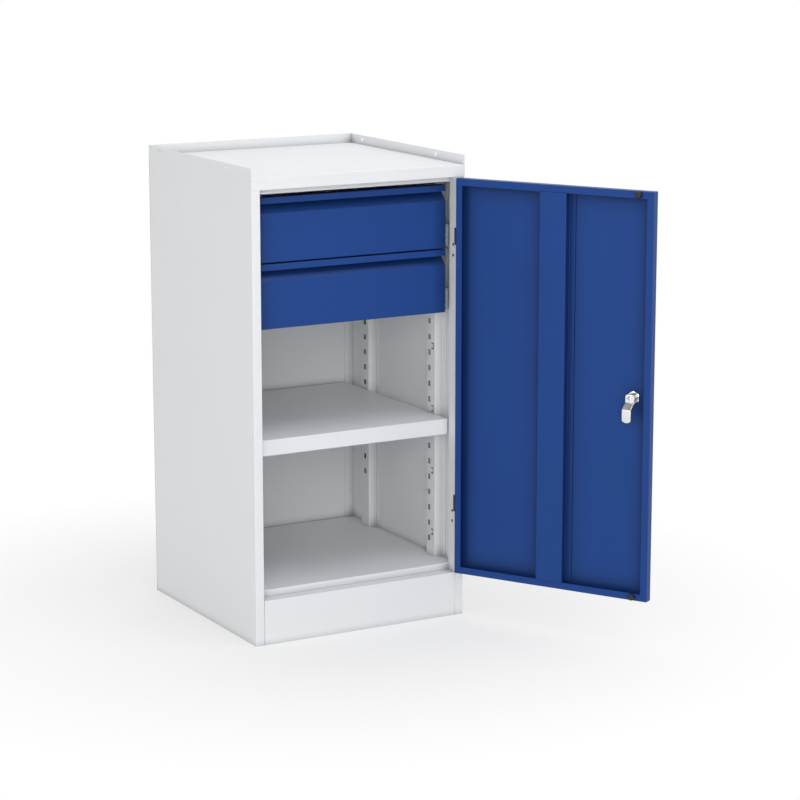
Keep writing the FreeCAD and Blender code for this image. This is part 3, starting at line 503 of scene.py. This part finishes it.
def cut_plate(name, outline, y0, y1):
    """A flat plate square to the slide, cut to an outline of pairs of X and Z."""
    plate = drawn_line(name, [(x, y0, z) for x, z in outline])
    bpy.ops.mesh.edge_face_add()
    bpy.ops.mesh.extrude_region_move(TRANSFORM_OT_translate={"value": (0, y1 - y0, 0)})
    turn_faces_out()
    return plate


def race(reach, rise, radius, first, last):
    """Points along a ball race, as pairs of reach from the post and height over the slide's middle."""
    steps = 7
    turns = [math.radians(first + (last - first) * i / steps) for i in range(steps + 1)]
    return [(reach + radius * math.cos(turn), rise + radius * math.sin(turn)) for turn in turns]


def both_halves(half, post_x, sign, middle):
    """A slide's whole outline in X and Z, from its upper half in pairs of reach and height."""
    upper = [(post_x - sign * reach, middle + rise) for reach, rise in half]
    lower = [(post_x - sign * reach, middle - rise) for reach, rise in reversed(half)]
    return upper + lower


slide_zinc = plated_metal("rolled strip zinc plating", (0.43, 0.44, 0.43), roughness=0.46)
slide_sheet = 0.0012
slide_half = 0.0225
slide_deep = 0.0127
slide_side_gap = 0.0006
ball_room = 0.00265
ball_reach = slide_deep - slide_side_gap - slide_sheet - ball_room
ball_rise = slide_half - slide_sheet - ball_room
race_radius = ball_room + slide_sheet / 2
outer_half = race(ball_reach, ball_rise, race_radius, first=-20, last=90)
outer_half += [(0.0022, slide_half - slide_sheet / 2), (0.0011, slide_half - 0.0010),
               (slide_sheet / 2, slide_half - 0.0022)]
inner_half = race(ball_reach, ball_rise, race_radius, first=-101, last=-34)
inner_half += [(slide_deep - 0.0010, ball_rise - 0.0018),
               (slide_deep - slide_sheet / 2, ball_rise - 0.0026)]
stop_tab = [(0.0001, slide_half), (0.0054, slide_half), (0.0069, slide_half - 0.0015)]
nose_half = [(0.0077, 0.0205), (0.0082, 0.0212), (0.0107, 0.0212), (0.0107, 0.0207), (0.0083, 0.0205),
             (0.0083, 0.0173), (0.0107, 0.0168), (0.0107, 0.0092), (0.0083, 0.0088), (0.0083, 0.0054),
             (0.0107, 0.0049)]
nose_out = 0.0014
nose_gap = 0.0004
for place in ("upper", "lower"):
    for side, sign in (("left", -1), ("right", 1)):
        post_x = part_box(f"{place}_{side}_cabinet_rail")[1 if sign > 0 else 0][0]
        for member, half, end, body in (("cabinet", outer_half, stop_tab, "carcass"),
                                        ("drawer", inner_half, nose_half, f"{place}_drawer")):
            node = f"{place}_{side}_{member}_rail"
            low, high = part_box(node)
            middle = (low[2] + high[2]) / 2
            end_y = (low[1], low[1] + slide_sheet)
            if member == "drawer":
                end_y = (low[1] - nose_out, low[1] - nose_gap)
            section = both_halves(half, post_x, sign, middle)
            outline = both_halves(end, post_x, sign, middle)
            name = f"{place}_{side}_{member}_slide"
            strip = rolled_strip(name, section, end_y[1], high[1], slide_sheet)
            rail = joined_pieces(name, [strip, cut_plate("end", outline, *end_y)])
            fitted(rail, slide_zinc, "zinc_plated_steel", body, node)
    finish_with(slide_zinc, f"{place}_drawer_rail_rivets", f"{place}_ball_cages")
    finish_with(steel, f"{place}_slide_balls")
finish_with(slide_zinc, "rail_rivets")


# The studio: a pale floor that keeps the cabinet's soft shadow, a white surround and large soft lamps.
# Cameras, mirrors and glass see the surround as plain white, with a grey ceiling high up over it.
# The camera stands at the photograph's angle, tilted down a little.

def combined(tree, operation, first, second):
    """Two values made one by a Math node."""
    node = tree.nodes.new("ShaderNodeMath")
    node.operation = operation
    tree.links.new(first, node.inputs[0])
    tree.links.new(second, node.inputs[1])
    return node.outputs["Value"]


def white_to_the_eye(tree):
    """How much of a ray comes from the camera, a gloss or a pane."""
    path = tree.nodes.new("ShaderNodeLightPath")
    either = combined(tree, "MAXIMUM", path.outputs["Is Camera Ray"], path.outputs["Is Glossy Ray"])
    return combined(tree, "MAXIMUM", either, path.outputs["Is Transmission Ray"])


bpy.ops.mesh.primitive_plane_add(size=60, location=(0, 0, 0))
floor = bpy.context.object
floor.name = "studio_floor"
floor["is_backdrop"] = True
floor_paint, tree, shader, place = new_finish("studio floor")
shader.inputs["Base Color"].default_value = (0.85, 0.85, 0.85, 1)
shader.inputs["Roughness"].default_value = 1
shader.inputs["Specular IOR Level"].default_value = 0
glow = tree.nodes.new("ShaderNodeEmission")
glow.inputs["Strength"].default_value = 1
distance = tree.nodes.new("ShaderNodeVectorMath")
distance.operation = "LENGTH"
tree.links.new(place, distance.inputs[0])
shadow_start = 0.35
shadow_end = 1.1
fade = mapped(tree, distance.outputs["Value"], shadow_start, shadow_end, 0.5, 1)
share = combined(tree, "MULTIPLY", white_to_the_eye(tree), fade)
mix = tree.nodes.new("ShaderNodeMixShader")
tree.links.new(share, mix.inputs["Fac"])
tree.links.new(shader.outputs["BSDF"], mix.inputs[1])
tree.links.new(glow.outputs["Emission"], mix.inputs[2])
tree.links.new(mix.outputs["Shader"], tree.nodes["Material Output"].inputs["Surface"])
floor.data.materials.append(floor_paint)

world = bpy.data.worlds.new("studio surround")
bpy.context.scene.world = world
world.use_nodes = True
tree = world.node_tree
background = tree.nodes["Background"]
background.inputs["Color"].default_value = (1, 1, 1, 1)
surround_light = 0.57
ceiling_start = 0.3
ceiling_full = 0.95
ceiling_tone = 0.3
axes = tree.nodes.new("ShaderNodeSeparateXYZ")
tree.links.new(tree.nodes.new("ShaderNodeTexCoord").outputs["Generated"], axes.inputs["Vector"])
level = mapped(tree, white_to_the_eye(tree), 0, 1, surround_light, 1)
ceiling = mapped(tree, axes.outputs["Z"], ceiling_start, ceiling_full, 1, ceiling_tone)
tree.links.new(combined(tree, "MINIMUM", level, ceiling), background.inputs["Strength"])


def soft_lamp(name, place, aim, size, power):
    """A large square lamp at one point, turned towards another."""
    lamp = bpy.data.lights.new(name, "AREA")
    lamp.shape = "SQUARE"
    lamp.size = size
    lamp.energy = power
    holder = bpy.data.objects.new(name, lamp)
    bpy.context.scene.collection.objects.link(holder)
    holder.location = place
    holder.rotation_euler = (Vector(aim) - Vector(place)).to_track_quat("-Z", "Y").to_euler()


soft_lamp("lamp over the front", (0.6, -1.6, 4.2), (0, 0, 0.5), size=2.4, power=48)
soft_lamp("lamp over the back", (1.0, 2.6, 3.8), (0, 0, 0.8), size=2.6, power=36)
soft_lamp("lamp in front", (-1.2, -4.6, 2.2), (0.1, 0, 0.5), size=2.6, power=27)
soft_lamp("lamp by the camera", (-2.9, -5.0, 1.4), (0, 0, 0.5), size=2.6, power=78)
soft_lamp("lamp on the left", (-4.5, -0.8, 2.4), (0, 0, 0.5), size=2.6, power=20)

camera = bpy.data.cameras.new("camera")
camera.sensor_width = 36
camera.lens = 118.84
camera.clip_end = 100
camera_aim = Vector((0.2355, 0, 0.4305))
camera_distance = 5.8654
camera_turn = math.radians(-29.532)
camera_rise = math.radians(11.772)
back = Vector((math.sin(camera_turn) * math.cos(camera_rise),
               -math.cos(camera_turn) * math.cos(camera_rise), math.sin(camera_rise)))
holder = bpy.data.objects.new("camera", camera)
bpy.context.scene.collection.objects.link(holder)
bpy.context.scene.camera = holder
holder.location = camera_aim + back * camera_distance
holder.rotation_euler = (-back).to_track_quat("-Z", "Y").to_euler()
bpy.context.scene.view_settings.view_transform = "Standard"

low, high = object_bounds()
